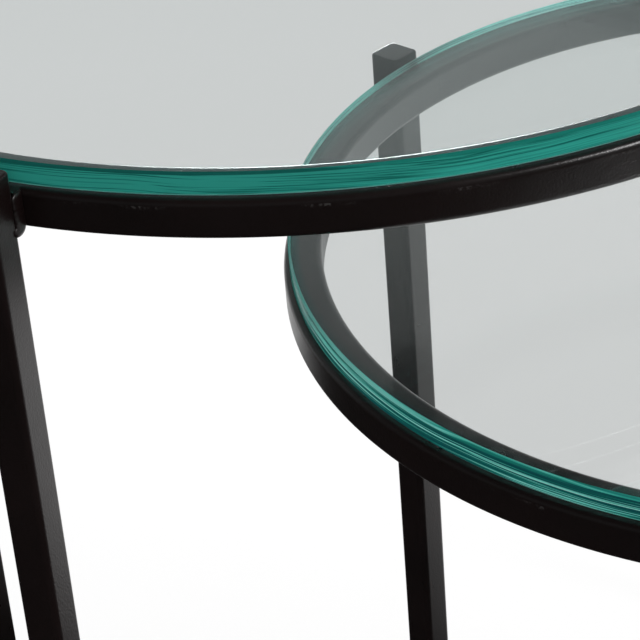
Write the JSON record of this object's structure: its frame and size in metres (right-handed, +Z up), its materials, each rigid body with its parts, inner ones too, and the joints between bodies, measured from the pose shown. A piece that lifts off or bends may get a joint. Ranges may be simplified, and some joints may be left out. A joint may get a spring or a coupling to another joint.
{
  "type": "nesting tables",
  "caption": "Round glass nesting tables: thick clear discs on rings of black square tube, with straight legs just outside the rings; the lower table slides out from under the taller one.",
  "frame": {"origin": "on the floor, in the middle of the pair's overall box", "axes": "+Z up; +X is the open side of the large table, where the small one slides out"},
  "size_m": [0.7776, 0.5788, 0.58],
  "materials": {
    "black_frame": "satin black powder coat",
    "clear_glass": "clear float glass, polished teal edge",
    "black_plastic": "moulded matt black",
    "clear_pad": "clear soft pad"
  },
  "bodies": {
    "large_frame": {"large_ring": "black_frame", "large_weld_beads": "black_frame", "large_spacer_back": "black_frame", "large_spacer_left": "black_frame", "large_spacer_right": "black_frame", "large_leg_back": "black_frame", "large_leg_left": "black_frame", "large_leg_right": "black_frame", "large_leg_cap_back": "black_frame", "large_leg_cap_left": "black_frame", "large_leg_cap_right": "black_frame", "large_foot_glide_back": "black_plastic", "large_foot_glide_left": "black_plastic", "large_foot_glide_right": "black_plastic", "large_glass_pads": "clear_pad"},
    "large_glass": {"large_glass_top": "clear_glass"},
    "small_frame": {"small_ring": "black_frame", "small_weld_beads": "black_frame", "small_spacer_back": "black_frame", "small_spacer_left": "black_frame", "small_spacer_right": "black_frame", "small_leg_back": "black_frame", "small_leg_left": "black_frame", "small_leg_right": "black_frame", "small_leg_cap_back": "black_frame", "small_leg_cap_left": "black_frame", "small_leg_cap_right": "black_frame", "small_foot_glide_back": "black_plastic", "small_foot_glide_left": "black_plastic", "small_foot_glide_right": "black_plastic", "small_glass_pads": "clear_pad"},
    "small_glass": {"small_glass_top": "clear_glass"}
  },
  "joints": [
    {"name": "small_draw", "type": "slide", "parent": "large_frame", "child": "small_frame", "axis": [0.9976, -0.0698, 0], "range_m": [-0.264, 0.252]},
    {"name": "large_glass_lift", "type": "slide", "parent": "large_frame", "child": "large_glass", "axis": [0, 0, 1], "range_m": [0, 0.06]},
    {"name": "small_glass_lift", "type": "slide", "parent": "small_frame", "child": "small_glass", "axis": [0, 0, 1], "range_m": [0, 0.05]}
  ]
}
